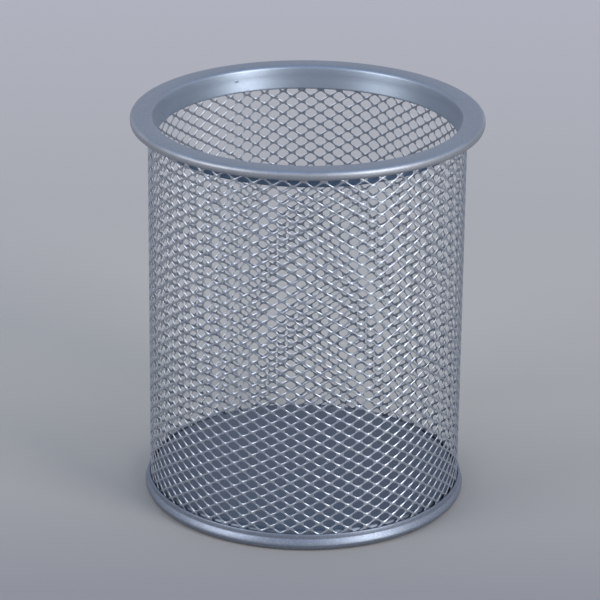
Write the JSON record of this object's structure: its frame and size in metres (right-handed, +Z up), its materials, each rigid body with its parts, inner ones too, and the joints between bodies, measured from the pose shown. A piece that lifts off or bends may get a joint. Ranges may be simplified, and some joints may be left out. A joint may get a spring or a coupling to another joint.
{
  "type": "mesh pen holder",
  "caption": "Round desktop pen holder: an open cup of expanded metal mesh between a pressed mouth rim and a pressed floor pan, painted silver grey.",
  "frame": {"origin": "centre of the foot ring, on the surface that the cup stands on", "axes": "+Z up along the cup's axis, out of its mouth; the picture looks along +Y from -Y, with +X to the right"},
  "size_m": [0.0888, 0.0888, 0.1016],
  "materials": {
    "mesh_paint": "silver-grey satin paint on expanded steel sheet",
    "rim_paint": "silver-grey satin paint on pressed steel sheet",
    "pan_paint": "silver-grey satin paint on pressed steel sheet"
  },
  "bodies": {
    "root": {"mesh_wall": "mesh_paint", "top_rim": "rim_paint", "base_pan": "pan_paint"}
  },
  "joints": []
}
